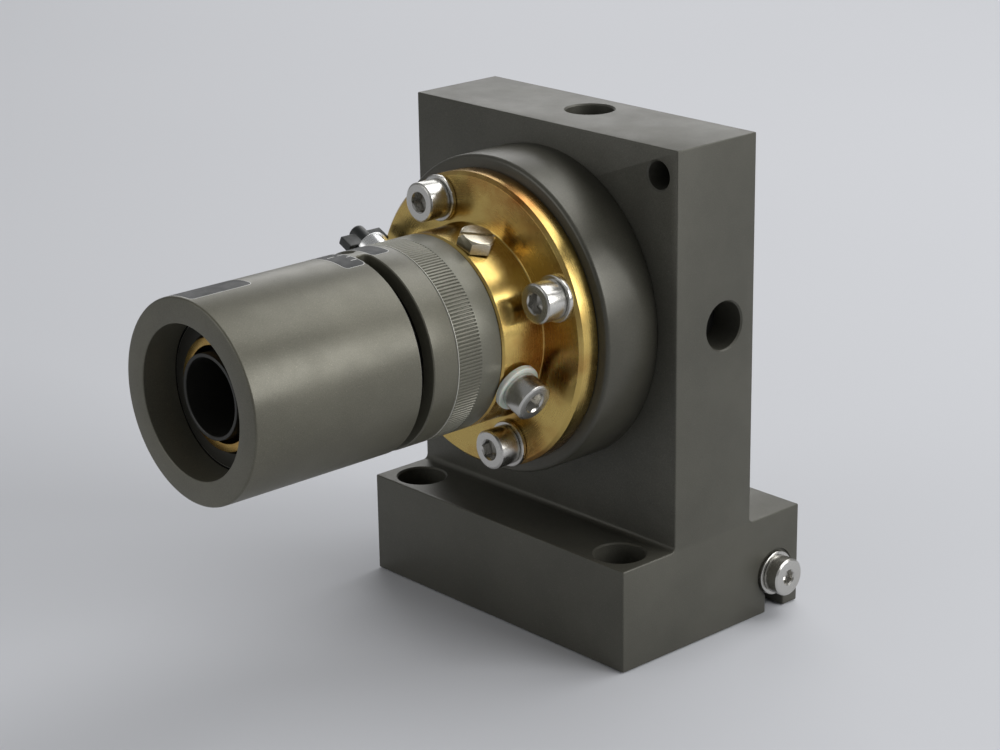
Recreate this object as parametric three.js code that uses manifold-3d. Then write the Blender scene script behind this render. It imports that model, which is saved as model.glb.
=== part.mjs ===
// Laser collimator on an upright mounting block.
//
// Frame: millimetres, +Z up. Z = 0 is the underside of the block's base, X = 0 is the optical
// axis (mid-width), Y = 0 is the middle of the base's depth. The barrel points towards -Y.
import * as THREE from 'three';
import { mergeVertices } from 'three/addons/utils/BufferGeometryUtils.js';
import Module from 'manifold-3d';

const wasm = await Module();
wasm.setup();

// ---------------------------------------------------------------- driving dimensions

const GAP = 0.3;              // running clearance kept between separate pieces
const SEAT = 0.1;             // gap left between faces that are clamped together
const AROUND_LARGE = 48;      // facets around the big turned parts
const AROUND_INNER = 32;      // facets around the turned parts inside
const AROUND_HOLE = 24;       // facets around the block's larger holes
const AROUND_SMALL = 16;      // facets around screws and pins

const BLOCK_WIDTH = 80;
const BASE_DEPTH = 55;
const BASE_HEIGHT = 23;
const BLOCK_HEIGHT = 110;
const AXIS_HEIGHT = 70;       // optical axis above the underside
const PLATE_FRONT = -12;
const PLATE_THICKNESS = 23.5;
const PLATE_REAR = PLATE_FRONT + PLATE_THICKNESS;
const FOOT_FILLET = 1.2;      // where the plate meets the front ledge
const SPIGOT_BORE = 25;       // radius of the bore through the plate

const KEYWAY_Y = 20;          // groove across the underside
const KEYWAY_WIDTH = 5.8;
const KEYWAY_DEPTH = 4.8;

const LEDGE_HOLE_X = 32;      // two counterbored holes for M6 screws
const LEDGE_HOLE_Y = -20.5;
const LEDGE_COUNTERBORE = 5.5;
const LEDGE_COUNTERBORE_DEPTH = 6.5;
const LEDGE_THROUGH = 3.3;

const SET_HOLE_Y = 2.5;       // radial holes in the plate's top and right side
const SET_HOLE = 5.25;
const SET_SCREW_RADIUS = 4.9;
const SET_SCREW_LENGTH = 8;
const DOWEL_X = 34.5;         // small blind hole in the plate's upper corner
const DOWEL_Z = 104;
const DOWEL_RADIUS = 3;
const DOWEL_DEPTH = 12;

const CLAMP_SCREW_Z = 8.8;    // low-head screw that closes the right end of the keyway
const SPOTFACE_RADIUS = 5.5;
const SPOTFACE_DEPTH = 0.5;

// Stations along the optical axis, from the plate forwards.
const BOSS_RADIUS = 34.75;
const BOSS_LENGTH = 14.5;
const BOSS_FRONT = PLATE_FRONT - BOSS_LENGTH;
const FLANGE_RADIUS = 32;
const FLANGE_THICKNESS = 5;
const FLANGE_FRONT = BOSS_FRONT - FLANGE_THICKNESS;
const TUBE_RADIUS = 21;       // hub, focus ring and barrel share one outside radius
const HUB_LENGTH = 11.4;
const HUB_FRONT = FLANGE_FRONT - HUB_LENGTH;
const RING_LENGTH = 12.1;
const RING_FRONT = HUB_FRONT - RING_LENGTH;
const KNURL_LENGTH = 6.2;
const BAND_LENGTH = 6.4;
const SLOT_REAR = RING_FRONT - BAND_LENGTH;
const SLOT_WIDTH = 3.1;
const SLOT_FRONT = SLOT_REAR - SLOT_WIDTH;
const BARREL_LENGTH = 41.2;
const BARREL_FRONT = SLOT_FRONT - BARREL_LENGTH;

const KNURL_TEETH = 172;
const KNURL_DEPTH = 0.35;
const BRIDGE_ANGLE = 91.5;    // two bridges, opposite each other, join the band to the barrel
const BRIDGE_SWEEP = 7;       // between two slots that each run nearly half way round
const RECESS_RADIUS = 15.7;   // open mouth of the barrel
const RECESS_DEPTH = 7.85;
const RECESS_FLOOR = BARREL_FRONT + RECESS_DEPTH;

const CORE_RADIUS = 17.4;     // fixed tube that carries the barrel
const CORE_BORE = 15.7;
const CORE_REAR = -25;
const SOCKET_RADIUS = CORE_RADIUS + GAP;

const CARRIER_RADIUS = CORE_BORE - GAP;
const CARRIER_FRONT = -88;
const CARRIER_REAR = -34.5;
const GUIDE_RADIUS = 11.6;
const GUIDE_BORE = 9.9;
const GUIDE_FRONT = -98.9;
const GUIDE_REAR = -62;
const SLEEVE_RADIUS = 8.8;
const SLEEVE_BORE = 7.9;
const SLEEVE_FRONT = -101;
const SLEEVE_REAR = -63.5;
const SLEEVE_COLLAR = 4;      // length of the sleeve's seat inside the guide tube

const FOCUS_RANGE = 60.5;     // degrees each way, a little more than the sleeve's travel needs
const FOCUS_LEAD = 12;        // sleeve travel per turn of the ring
const PIN_RADIUS = 1.4;
const PIN_ANGLE = -67.5;
const PIN_Y = RING_FRONT + KNURL_LENGTH / 2;
const PIN_TIP = 14.2;
const PIN_TOP = 19.8;

const ADAPTER_BORE = 20.5;
const LENS_CELL_FRONT = -24.1;
const LENS_CELL_REAR = 1.7;
const LENS_SEAT_RADIUS = 16;
const LENS_BORE = 18.3;
const LENS_RADIUS = 18;
const SHOULDER_Y = 2;         // step that stops the lens cell
const SHOULDER_BORE = 17;
const WINDOW_BORE = 19.5;
const WINDOW_FRONT = 3.6;
const WINDOW_THICKNESS = 2.2;

const SCREW_CIRCLE = 27;      // radius of the flange screws' circle
const SCREW_ANGLE = 22.5;
const FLANGE_SCREWS = 4;
const RADIAL_SCREW_Y = -38.5;
const HEX_SCREW_ANGLE = 67.5;
const SOCKET_SCREW_ANGLE = -22.5;
const THUMB_SCREW_ANGLE = 154.2;

const M5 = { shank: 2.45, head: 4.25, height: 5, hex: 4, hexDepth: 2.6, washer: 5, washerHeight: 1 };
const M5_LOW = { ...M5, height: 3.5, hex: 3, hexDepth: 1.8 };
const M4_HEX = { shank: 1.95, acrossFlats: 7, height: 2.8, slot: 1, slotDepth: 0.9 };

// ---------------------------------------------------------------- materials

const finish = (color, roughness, metalness) => ({ color, roughness, metalness });
const ANODISED_BLOCK = finish(0x3b3935, 0.55, 0.7);
const ANODISED_TUBE = finish(0x5f5e57, 0.45, 0.7);
const ANODISED_RING = finish(0x6b6b63, 0.45, 0.7);
const ANODISED_INNER = finish(0x1d1c1a, 0.6, 0.5);
const BRASS = finish(0xc49a3a, 0.25, 1);
const STEEL = finish(0xb9b8b2, 0.3, 1);
const NICKEL = finish(0xb3ab93, 0.25, 1);
const ALUMINIUM = finish(0xd9d9d6, 0.3, 1);
const BLACK_PLASTIC = finish(0x202320, 0.5, 0);
const WHITE_PLASTIC = finish(0xc9cec0, 0.4, 0);
const RUBBER = finish(0x161616, 0.8, 0);
const GLASS = finish(0x9fb7c4, 0.05, 0);

// ---------------------------------------------------------------- geometry helpers

const radians = THREE.MathUtils.degToRad;

function signedVolume(points, index) {
  const [a, b, c] = [new THREE.Vector3(), new THREE.Vector3(), new THREE.Vector3()];
  let volume = 0;
  for (let i = 0; i < index.length; i += 3) {
    a.fromBufferAttribute(points, index[i]);
    b.fromBufferAttribute(points, index[i + 1]);
    c.fromBufferAttribute(points, index[i + 2]);
    volume += a.dot(b.cross(c)) / 6;
  }
  return volume;
}

// Keeps only positions, merges shared vertices, drops collapsed triangles and turns faces outward.
function closed(geometry) {
  const bare = geometry.clone();
  bare.deleteAttribute('normal');
  bare.deleteAttribute('uv');
  const merged = mergeVertices(bare, 1e-4);
  const source = merged.getIndex().array;
  let index = [];
  for (let i = 0; i < source.length; i += 3) {
    const [a, b, c] = source.subarray(i, i + 3);
    if (a !== b && b !== c && c !== a) index.push(a, b, c);
  }
  if (signedVolume(merged.getAttribute('position'), index) < 0) index = index.reverse();
  merged.setIndex(index);
  return merged;
}

function solid(geometry) {
  const body = closed(geometry);
  return new wasm.Manifold(new wasm.Mesh({
    numProp: 3,
    vertProperties: new Float32Array(body.getAttribute('position').array),
    triVerts: new Uint32Array(body.getIndex().array),
  }));
}

function geometryOf(manifold) {
  const mesh = manifold.getMesh();
  const geometry = new THREE.BufferGeometry();
  geometry.setAttribute('position', new THREE.BufferAttribute(mesh.vertProperties, 3));
  geometry.setIndex(new THREE.BufferAttribute(mesh.triVerts, 1));
  return geometry;
}

function cut(base, ...tools) {
  return geometryOf(tools.reduce((left, tool) => left.subtract(solid(tool)), solid(base)));
}

function join(base, ...others) {
  return geometryOf(others.reduce((left, other) => left.add(solid(other)), solid(base)));
}

// Solid of revolution about the Y axis from [radius, y] corners. A profile that doesn't reach the
// axis at both ends is closed on itself.
function turned(profile, around = AROUND_LARGE) {
  const points = profile.map(([radius, y]) => new THREE.Vector2(radius, y));
  const onAxis = profile[0][0] === 0 && profile[profile.length - 1][0] === 0;
  if (!onAxis) points.push(points[0].clone());
  return closed(new THREE.LatheGeometry(points, around));
}

function tube(outer, inner, front, rear, around = AROUND_LARGE) {
  return turned([[inner, front], [outer, front], [outer, rear], [inner, rear]], around);
}

function disc(radius, front, rear, around = AROUND_LARGE) {
  return turned([[0, front], [radius, front], [radius, rear], [0, rear]], around);
}

function box(x, y, z) {
  const [width, depth, height] = [x[1] - x[0], y[1] - y[0], z[1] - z[0]];
  const geometry = new THREE.BoxGeometry(width, depth, height);
  return geometry.translate(x[0] + width / 2, y[0] + depth / 2, z[0] + height / 2);
}

// Upright round bar along Z with a round or polygonal section.
function bar(radius, low, high, around = AROUND_SMALL) {
  const geometry = new THREE.CylinderGeometry(radius, radius, high - low, around);
  return geometry.rotateX(Math.PI / 2).translate(0, 0, (low + high) / 2);
}

// Joins rings of points into one closed skin, with flat ends or round a full circle.
function loft(rings, endless = false) {
  const count = rings[0].length;
  const geometry = new THREE.BufferGeometry().setFromPoints(rings.flat());
  const index = [];
  const spans = endless ? rings.length : rings.length - 1;
  for (let i = 0; i < spans; i += 1) {
    const here = i * count;
    const there = ((i + 1) % rings.length) * count;
    for (let j = 0; j < count; j += 1) {
      const next = (j + 1) % count;
      index.push(here + j, there + j, there + next, here + j, there + next, here + next);
    }
  }
  const last = (rings.length - 1) * count;
  for (let j = 1; j < count - 1 && !endless; j += 1) {
    index.push(0, j, j + 1, last, last + j + 1, last + j);
  }
  geometry.setIndex(index);
  return closed(geometry);
}

const polar = (radius, degrees, y) => new THREE.Vector3(
  radius * Math.cos(radians(degrees)), y, radius * Math.sin(radians(degrees)));

// Part of a tube between two angles; lift moves it along Y by so much for each degree.
function sector({ inner, outer, front, rear, start, sweep, lift = 0, step = 7.5 }) {
  const steps = Math.ceil(Math.abs(sweep) / step);
  const rings = [];
  for (let i = 0; i <= steps; i += 1) {
    const turn = (sweep * i) / steps;
    const shift = lift * turn;
    rings.push([
      polar(inner, start + turn, front + shift), polar(outer, start + turn, front + shift),
      polar(outer, start + turn, rear + shift), polar(inner, start + turn, rear + shift),
    ]);
  }
  return loft(rings);
}

// Bar that stands radially on the optical axis at an angle and a station.
function radialBar(radius, from, to, degrees, y, around = AROUND_SMALL) {
  return bar(radius, from, to, around).rotateY(radians(90 - degrees)).translate(0, y, 0);
}

// ---------------------------------------------------------------- scene graph

const collimator = new THREE.Group();
const axis = new THREE.Group();             // everything centred on the optical axis
axis.position.z = AXIS_HEIGHT;
collimator.add(axis);

function part(name, geometry, look, parent = axis) {
  const mesh = new THREE.Mesh(geometry, new THREE.MeshStandardMaterial(look));
  mesh.name = name;
  parent.add(mesh);
  return mesh;
}

// Turns a piece whose own axis is +Z so that it points outward at an angle round the optical axis.
function placeRadially(mesh, degrees, radius, y) {
  mesh.position.copy(polar(radius, degrees, y));
  mesh.rotation.y = radians(90 - degrees);
}

// ---------------------------------------------------------------- mounting block

function blockProfile() {
  const half = BASE_DEPTH / 2;
  const groove = KEYWAY_WIDTH / 2;
  const outline = new THREE.Shape();
  outline.moveTo(-half, 0);
  outline.lineTo(KEYWAY_Y - groove, 0);
  outline.lineTo(KEYWAY_Y - groove, KEYWAY_DEPTH);
  outline.lineTo(KEYWAY_Y + groove, KEYWAY_DEPTH);
  outline.lineTo(KEYWAY_Y + groove, 0);
  outline.lineTo(half, 0);
  outline.lineTo(half, BASE_HEIGHT);
  outline.lineTo(PLATE_REAR, BASE_HEIGHT);
  outline.lineTo(PLATE_REAR, BLOCK_HEIGHT);
  outline.lineTo(PLATE_FRONT, BLOCK_HEIGHT);
  outline.lineTo(PLATE_FRONT, BASE_HEIGHT + FOOT_FILLET);
  outline.absarc(PLATE_FRONT - FOOT_FILLET, BASE_HEIGHT + FOOT_FILLET, FOOT_FILLET, 0, -Math.PI / 2, true);
  outline.lineTo(-half, BASE_HEIGHT);
  return outline;
}

function mountBlock() {
  const blank = new THREE.ExtrudeGeometry(blockProfile(), {
    depth: BLOCK_WIDTH, bevelEnabled: false, curveSegments: 4,
  });
  // The profile's X and Y become the block's Y and Z.
  blank.applyMatrix4(new THREE.Matrix4().set(
    0, 0, 1, -BLOCK_WIDTH / 2,
    1, 0, 0, 0,
    0, 1, 0, 0,
    0, 0, 0, 1));
  const side = BLOCK_WIDTH / 2;
  const ledgeHoles = [-LEDGE_HOLE_X, LEDGE_HOLE_X].flatMap((x) => [
    bar(LEDGE_THROUGH, -1, BASE_HEIGHT + 1).translate(x, LEDGE_HOLE_Y, 0),
    bar(LEDGE_COUNTERBORE, BASE_HEIGHT - LEDGE_COUNTERBORE_DEPTH, BASE_HEIGHT + 1, AROUND_HOLE)
      .translate(x, LEDGE_HOLE_Y, 0),
  ]);
  const alongX = (geometry, y, z) => geometry.rotateY(Math.PI / 2).translate(0, y, z);
  return cut(
    blank,
    disc(SPIGOT_BORE, PLATE_FRONT - 1, PLATE_REAR + 1).translate(0, 0, AXIS_HEIGHT),
    ...ledgeHoles,
    bar(SET_HOLE, AXIS_HEIGHT, BLOCK_HEIGHT + 1, AROUND_HOLE).translate(0, SET_HOLE_Y, 0),
    alongX(bar(SET_HOLE, 0, side + 1, AROUND_HOLE), SET_HOLE_Y, AXIS_HEIGHT),
    disc(DOWEL_RADIUS, PLATE_FRONT - 1, PLATE_FRONT + DOWEL_DEPTH, AROUND_SMALL)
      .translate(DOWEL_X, 0, DOWEL_Z),
    alongX(bar(SPOTFACE_RADIUS, side - SPOTFACE_DEPTH, side + 1), KEYWAY_Y, CLAMP_SCREW_Z),
    alongX(bar(M5.shank + GAP, side - 15, side), KEYWAY_Y, CLAMP_SCREW_Z),
  );
}

part('mount_block', mountBlock(), ANODISED_BLOCK, collimator);

// ---------------------------------------------------------------- fasteners

// Socket head cap screw: head above z = 0, shank below, hexagonal socket in the top.
function socketScrew({ shank, head, height, hex, hexDepth }, length) {
  const chamfer = 0.4;
  const blank = turned([
    [0, -length], [shank - chamfer, -length], [shank, -length + chamfer], [shank, 0], [head, 0],
    [head, height - chamfer], [head - chamfer, height], [0, height],
  ], AROUND_SMALL).rotateX(Math.PI / 2);
  return cut(blank, bar(hex / Math.sqrt(3), height - hexDepth, height + 1, 6));
}

function washer(outer, inner, height) {
  return tube(outer, inner, 0, height, AROUND_SMALL).rotateX(Math.PI / 2);
}
const plainWasher = () => washer(M5.washer, M5.shank + GAP, M5.washerHeight);

function setScrew(radius, length, hex) {
  const chamfer = 0.6;
  const blank = turned([
    [0, 0], [radius - chamfer, 0], [radius, chamfer], [radius, length - chamfer],
    [radius - chamfer, length], [0, length],
  ], AROUND_SMALL).rotateX(Math.PI / 2);
  return cut(blank, bar(hex / Math.sqrt(3), length * 0.45, length + 1, 6));
}

// Hexagon head screw with a screwdriver slot.
function slottedHexScrew({ shank, acrossFlats, height, slot, slotDepth }, length) {
  const corner = acrossFlats / Math.sqrt(3);
  const crown = 0.45;
  const head = bar(corner, 0, height, 6);
  const dome = solid(turned([
    [0, 0], [corner, 0], [corner, height - crown], [acrossFlats / 2 - 0.1, height], [0, height],
  ], AROUND_SMALL).rotateX(Math.PI / 2));
  const trimmed = geometryOf(solid(head).intersect(dome));
  return cut(
    join(trimmed, bar(shank, -length, crown)),
    box([-corner, corner], [-slot / 2, slot / 2], [height - slotDepth, height + 1]),
  );
}

// ---------------------------------------------------------------- bore adapter and its set screws

const adapterRear = PLATE_REAR - GAP;
const screwHoleDepth = 11;
const adapterEdge = 0.5;
const sealRadius = 23;
const sealSection = 1.2;
const grooveHalf = sealSection * 0.8;
const grooveFloor = BOSS_FRONT + sealSection * 1.4;
const screwAngles = Array.from({ length: FLANGE_SCREWS }, (_, i) => SCREW_ANGLE + (360 / FLANGE_SCREWS) * i);
const spigotRadius = SPIGOT_BORE - GAP;
const adapterBlank = turned([
  [ADAPTER_BORE, BOSS_FRONT],
  [sealRadius - grooveHalf, BOSS_FRONT], [sealRadius - grooveHalf, grooveFloor],
  [sealRadius + grooveHalf, grooveFloor], [sealRadius + grooveHalf, BOSS_FRONT],
  [BOSS_RADIUS - adapterEdge, BOSS_FRONT], [BOSS_RADIUS, BOSS_FRONT + adapterEdge],
  [BOSS_RADIUS, PLATE_FRONT - SEAT], [spigotRadius, PLATE_FRONT - SEAT],
  [spigotRadius, adapterRear - adapterEdge], [spigotRadius - adapterEdge, adapterRear],
  [WINDOW_BORE, adapterRear], [WINDOW_BORE, WINDOW_FRONT - GAP], [SHOULDER_BORE, WINDOW_FRONT - GAP],
  [SHOULDER_BORE, SHOULDER_Y], [ADAPTER_BORE, SHOULDER_Y],
]);
const tappedHoles = screwAngles.map((degrees) => {
  const centre = polar(SCREW_CIRCLE, degrees, 0);
  return disc(M5.shank + GAP, BOSS_FRONT - 1, BOSS_FRONT + screwHoleDepth, AROUND_SMALL)
    .translate(centre.x, 0, centre.z);
});
part('bore_adapter', cut(adapterBlank, ...tappedHoles), ANODISED_BLOCK);

const setScrewFoot = spigotRadius + GAP;
const setScrews = { adapter_set_screw_top: 90, adapter_set_screw_side: 0 };
for (const [name, degrees] of Object.entries(setScrews)) {
  const screw = part(name, setScrew(SET_SCREW_RADIUS, SET_SCREW_LENGTH, 5), STEEL);
  placeRadially(screw, degrees, setScrewFoot, SET_HOLE_Y);
}

// ---------------------------------------------------------------- brass flange with its screws

const flangeEdge = 0.7;
const hubEdge = 0.5;
const centring = 2;           // spigot that enters the adapter
const flangeRear = BOSS_FRONT - SEAT;
const centringRadius = ADAPTER_BORE - GAP;
const flangeBlank = turned([
  [SOCKET_RADIUS, HUB_FRONT + SEAT], [TUBE_RADIUS - hubEdge, HUB_FRONT + SEAT],
  [TUBE_RADIUS, HUB_FRONT + SEAT + hubEdge], [TUBE_RADIUS, FLANGE_FRONT],
  [FLANGE_RADIUS - flangeEdge, FLANGE_FRONT], [FLANGE_RADIUS, FLANGE_FRONT + flangeEdge],
  [FLANGE_RADIUS, flangeRear], [centringRadius, flangeRear], [centringRadius, flangeRear + centring],
  [SOCKET_RADIUS, flangeRear + centring],
]);
const flangeHoles = screwAngles.map((degrees) => {
  const centre = polar(SCREW_CIRCLE, degrees, 0);
  return disc(M5.shank + GAP, FLANGE_FRONT - 1, BOSS_FRONT + 1, AROUND_SMALL)
    .translate(centre.x, 0, centre.z);
});
const hubHoles = [
  [M4_HEX.shank, HEX_SCREW_ANGLE], [M5.shank, SOCKET_SCREW_ANGLE], [M4_HEX.shank, THUMB_SCREW_ANGLE],
].map(([shank, degrees]) => radialBar(shank + GAP, CORE_BORE, TUBE_RADIUS + 1, degrees, RADIAL_SCREW_Y));
part('brass_flange', cut(flangeBlank, ...flangeHoles, ...hubHoles), BRASS);

part('flange_seal', new THREE.TorusGeometry(sealRadius, sealSection / 2, 6, 32)
  .rotateX(Math.PI / 2).translate(0, BOSS_FRONT + sealSection * 0.65, 0), RUBBER);

// Each flange screw stands on its washer, head towards -Y.
const flangeScrewLength = 14;
screwAngles.forEach((degrees, i) => {
  const washerSeat = FLANGE_FRONT - SEAT;
  const headSeat = washerSeat - M5.washerHeight - SEAT;
  const ring = part(`flange_washer_${i + 1}`, plainWasher(), STEEL);
  ring.position.copy(polar(SCREW_CIRCLE, degrees, washerSeat));
  const screw = part(`flange_screw_${i + 1}`, socketScrew(M5, flangeScrewLength), STEEL);
  screw.position.copy(polar(SCREW_CIRCLE, degrees, headSeat));
  for (const piece of [ring, screw]) piece.rotation.x = Math.PI / 2;
});

// Radial screws in the hub.
const hubGrip = TUBE_RADIUS - SOCKET_RADIUS;
const hexScrew = part('hub_hex_screw', slottedHexScrew(M4_HEX, hubGrip), NICKEL);
placeRadially(hexScrew, HEX_SCREW_ANGLE, TUBE_RADIUS + SEAT, RADIAL_SCREW_Y);
const frictionSeat = TUBE_RADIUS + GAP;
const frictionHeight = 1.2;
const frictionWasher = part('friction_washer', washer(5.2, M5.shank + GAP, frictionHeight), WHITE_PLASTIC);
placeRadially(frictionWasher, SOCKET_SCREW_ANGLE, frictionSeat, RADIAL_SCREW_Y);
const frictionScrew = part('friction_screw', socketScrew(M5, hubGrip + frictionHeight), STEEL);
placeRadially(frictionScrew, SOCKET_SCREW_ANGLE, frictionSeat + frictionHeight + SEAT, RADIAL_SCREW_Y);

// Thumb screw: turned aluminium screw with a collar. A moulded knob with a round hub and two flat wings
// is pressed on its end, the wings lying along the optical axis.
const collarFoot = 25;
const collarTop = 29.1;
const collarRadius = 3.8;
const collarEdge = 0.6;
const knobRadius = 1.9;
const knobHeight = 5.1;
const wingTip = 5.45;
const wingHeight = 3.7;
const wingHalf = 1;           // half the thickness of a wing
const knobPeg = 0.8;          // half width of the square that drives the knob
const thumbTip = CARRIER_RADIUS + GAP;
const thumbBlank = turned([
  [0, thumbTip], [M4_HEX.shank, thumbTip], [M4_HEX.shank, collarFoot],
  [collarRadius - collarEdge, collarFoot], [collarRadius, collarFoot + collarEdge],
  [collarRadius, collarTop - collarEdge], [collarRadius - collarEdge, collarTop], [0, collarTop],
], AROUND_SMALL).rotateX(Math.PI / 2);
const thumbPeg = box([-knobPeg, knobPeg], [-knobPeg, knobPeg], [collarTop - 1, collarTop + knobHeight - 1.2]);
const thumbScrew = part('thumb_screw', join(thumbBlank, thumbPeg), ALUMINIUM);
placeRadially(thumbScrew, THUMB_SCREW_ANGLE, 0, RADIAL_SCREW_Y);

const knobHub = bar(knobRadius, 0, knobHeight, AROUND_SMALL);
const wings = box([-wingHalf, wingHalf], [-wingTip, wingTip], [0, wingHeight]);
const pegSocket = knobPeg + SEAT;
const pegHole = box([-pegSocket, pegSocket], [-pegSocket, pegSocket], [-1, knobHeight - 1]);
const thumbKnob = part('thumb_knob', cut(join(knobHub, wings), pegHole), BLACK_PLASTIC);
placeRadially(thumbKnob, THUMB_SCREW_ANGLE, collarTop + SEAT, RADIAL_SCREW_Y);

// ---------------------------------------------------------------- core tube, barrel and focus ring

const clearPin = PIN_RADIUS + GAP;
const pinSlot = {
  inner: CORE_BORE - 1, outer: CORE_RADIUS + 1, front: PIN_Y - clearPin, rear: PIN_Y + clearPin,
  start: PIN_ANGLE - FOCUS_RANGE, sweep: 2 * FOCUS_RANGE,
};
const slotEnds = [-1, 1].map((side) => radialBar(
  clearPin + 0.05, CORE_BORE - 1, CORE_RADIUS + 1, PIN_ANGLE + side * FOCUS_RANGE, PIN_Y));
part('core_tube', cut(
  tube(CORE_RADIUS, CORE_BORE, RECESS_FLOOR + GAP, CORE_REAR, AROUND_INNER),
  sector(pinSlot), ...slotEnds,
  radialBar(M4_HEX.shank + GAP, CORE_BORE - 1, CORE_RADIUS + 1, THUMB_SCREW_ANGLE, RADIAL_SCREW_Y),
), ANODISED_INNER);

function frontBarrel() {
  const edge = 0.4;
  const rear = RING_FRONT - SEAT;
  const blank = turned([
    [RECESS_RADIUS + edge / 2, BARREL_FRONT], [TUBE_RADIUS - edge, BARREL_FRONT],
    [TUBE_RADIUS, BARREL_FRONT + edge], [TUBE_RADIUS, rear], [SOCKET_RADIUS, rear],
    [SOCKET_RADIUS, RECESS_FLOOR], [RECESS_RADIUS, RECESS_FLOOR], [RECESS_RADIUS, BARREL_FRONT + edge / 2],
  ]);
  const endMill = SLOT_WIDTH / 2;
  const inset = THREE.MathUtils.radToDeg(endMill / TUBE_RADIUS);
  const sweep = -(180 - BRIDGE_SWEEP - 2 * inset);
  const [inner, outer] = [SOCKET_RADIUS - 1, TUBE_RADIUS + 1];
  const middle = (SLOT_FRONT + SLOT_REAR) / 2;
  const slots = [0, 180].flatMap((half) => {
    const start = BRIDGE_ANGLE - BRIDGE_SWEEP / 2 - inset - half;
    return [
      sector({ inner, outer, front: SLOT_FRONT, rear: SLOT_REAR, start, sweep }),
      radialBar(endMill, inner, outer, start, middle),
      radialBar(endMill, inner, outer, start + sweep, middle),
    ];
  });
  return cut(blank, ...slots);
}
part('front_barrel', frontBarrel(), ANODISED_TUBE);

function knurlOutline() {
  const points = Array.from({ length: KNURL_TEETH * 2 }, (_, i) => {
    const turn = (i / (KNURL_TEETH * 2)) * 2 * Math.PI;
    const radius = i % 2 ? TUBE_RADIUS - KNURL_DEPTH : TUBE_RADIUS;
    return new THREE.Vector2(radius * Math.cos(turn), radius * Math.sin(turn));
  });
  const outline = new THREE.Shape(points);
  const core = new THREE.Path();
  core.absarc(0, 0, SOCKET_RADIUS + 1, 0, 2 * Math.PI, true);
  outline.holes.push(core);
  return outline;
}

function focusRing() {
  const front = RING_FRONT + SEAT;
  const rear = HUB_FRONT - GAP;
  const knurlRear = RING_FRONT + KNURL_LENGTH;
  const edge = 0.3;
  const root = TUBE_RADIUS - KNURL_DEPTH - 0.1;
  const blank = turned([
    [SOCKET_RADIUS, front], [TUBE_RADIUS - edge, front], [TUBE_RADIUS, front + edge],
    [TUBE_RADIUS, front + 2 * edge], [root, front + 2 * edge], [root, knurlRear], [TUBE_RADIUS, knurlRear],
    [TUBE_RADIUS, rear - edge], [TUBE_RADIUS - edge, rear], [SOCKET_RADIUS, rear],
  ]);
  const knurlFront = front + 2 * edge;
  const knurl = new THREE.ExtrudeGeometry(knurlOutline(), {
    depth: knurlRear - knurlFront, bevelEnabled: false, curveSegments: 16,
  }).rotateX(-Math.PI / 2).translate(0, knurlFront, 0);
  const pinHole = radialBar(clearPin, CORE_BORE, PIN_TOP + GAP, PIN_ANGLE, PIN_Y);
  return cut(join(blank, knurl), pinHole);
}
part('focus_ring', focusRing(), ANODISED_RING);

const drivePin = part('drive_pin', bar(PIN_RADIUS, PIN_TIP, PIN_TOP, 16), STEEL);
placeRadially(drivePin, PIN_ANGLE, 0, PIN_Y);

// Black ring that closes the front of the core tube and guides the brass tube.
const guideRingDepth = 5;
const spannerSlots = [0, 90].map((degrees) => (
  box([-CORE_BORE, CORE_BORE], [RECESS_FLOOR - 1, RECESS_FLOOR + 1], [-1, 1]).rotateY(radians(degrees))));
part('front_guide_ring', cut(turned([
  [GUIDE_RADIUS + GAP + 0.4, RECESS_FLOOR], [CORE_BORE - GAP - 0.3, RECESS_FLOOR],
  [CORE_BORE - GAP, RECESS_FLOOR + 0.3], [CORE_BORE - GAP, RECESS_FLOOR + guideRingDepth],
  [GUIDE_RADIUS + GAP, RECESS_FLOOR + guideRingDepth], [GUIDE_RADIUS + GAP, RECESS_FLOOR + 0.4],
], AROUND_INNER), ...spannerSlots), ANODISED_INNER);

// ---------------------------------------------------------------- sliding sleeve assembly

// The carrier's helical groove lets the focus ring's pin push it along the axis.
function sleeveCarrier() {
  const grooveFloor = PIN_TIP - GAP;
  const bore = GUIDE_RADIUS + GAP;
  const overrun = 8;
  const lead = FOCUS_LEAD / 360;
  const start = PIN_ANGLE - FOCUS_RANGE - overrun;
  const startShift = -lead * (FOCUS_RANGE + overrun);
  const groove = sector({
    inner: grooveFloor, outer: CARRIER_RADIUS + 1,
    front: PIN_Y - clearPin - 0.15 + startShift, rear: PIN_Y + clearPin + 0.15 + startShift,
    start, sweep: 2 * (FOCUS_RANGE + overrun), lift: lead,
  });
  const lightBaffle = 10;
  const blank = turned([
    [bore, CARRIER_FRONT], [CARRIER_RADIUS, CARRIER_FRONT], [CARRIER_RADIUS, CARRIER_REAR],
    [lightBaffle, CARRIER_REAR], [lightBaffle, CARRIER_REAR - 2], [bore, CARRIER_REAR - 4],
  ], AROUND_INNER);
  return cut(blank, groove);
}
part('sleeve_carrier', sleeveCarrier(), ANODISED_INNER);

part('brass_guide_tube', turned([
  [GUIDE_BORE, GUIDE_FRONT], [GUIDE_RADIUS - 0.2, GUIDE_FRONT], [GUIDE_RADIUS, GUIDE_FRONT + 0.2],
  [GUIDE_RADIUS, GUIDE_REAR], [GUIDE_BORE, GUIDE_REAR],
], AROUND_INNER), BRASS);

part('fibre_sleeve', turned([
  [SLEEVE_BORE, SLEEVE_FRONT], [SLEEVE_RADIUS, SLEEVE_FRONT], [SLEEVE_RADIUS, SLEEVE_REAR - SLEEVE_COLLAR],
  [GUIDE_BORE - GAP, SLEEVE_REAR - SLEEVE_COLLAR], [GUIDE_BORE - GAP, SLEEVE_REAR],
  [SLEEVE_BORE, SLEEVE_REAR],
], AROUND_INNER), ANODISED_INNER);

// ---------------------------------------------------------------- lens group

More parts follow.
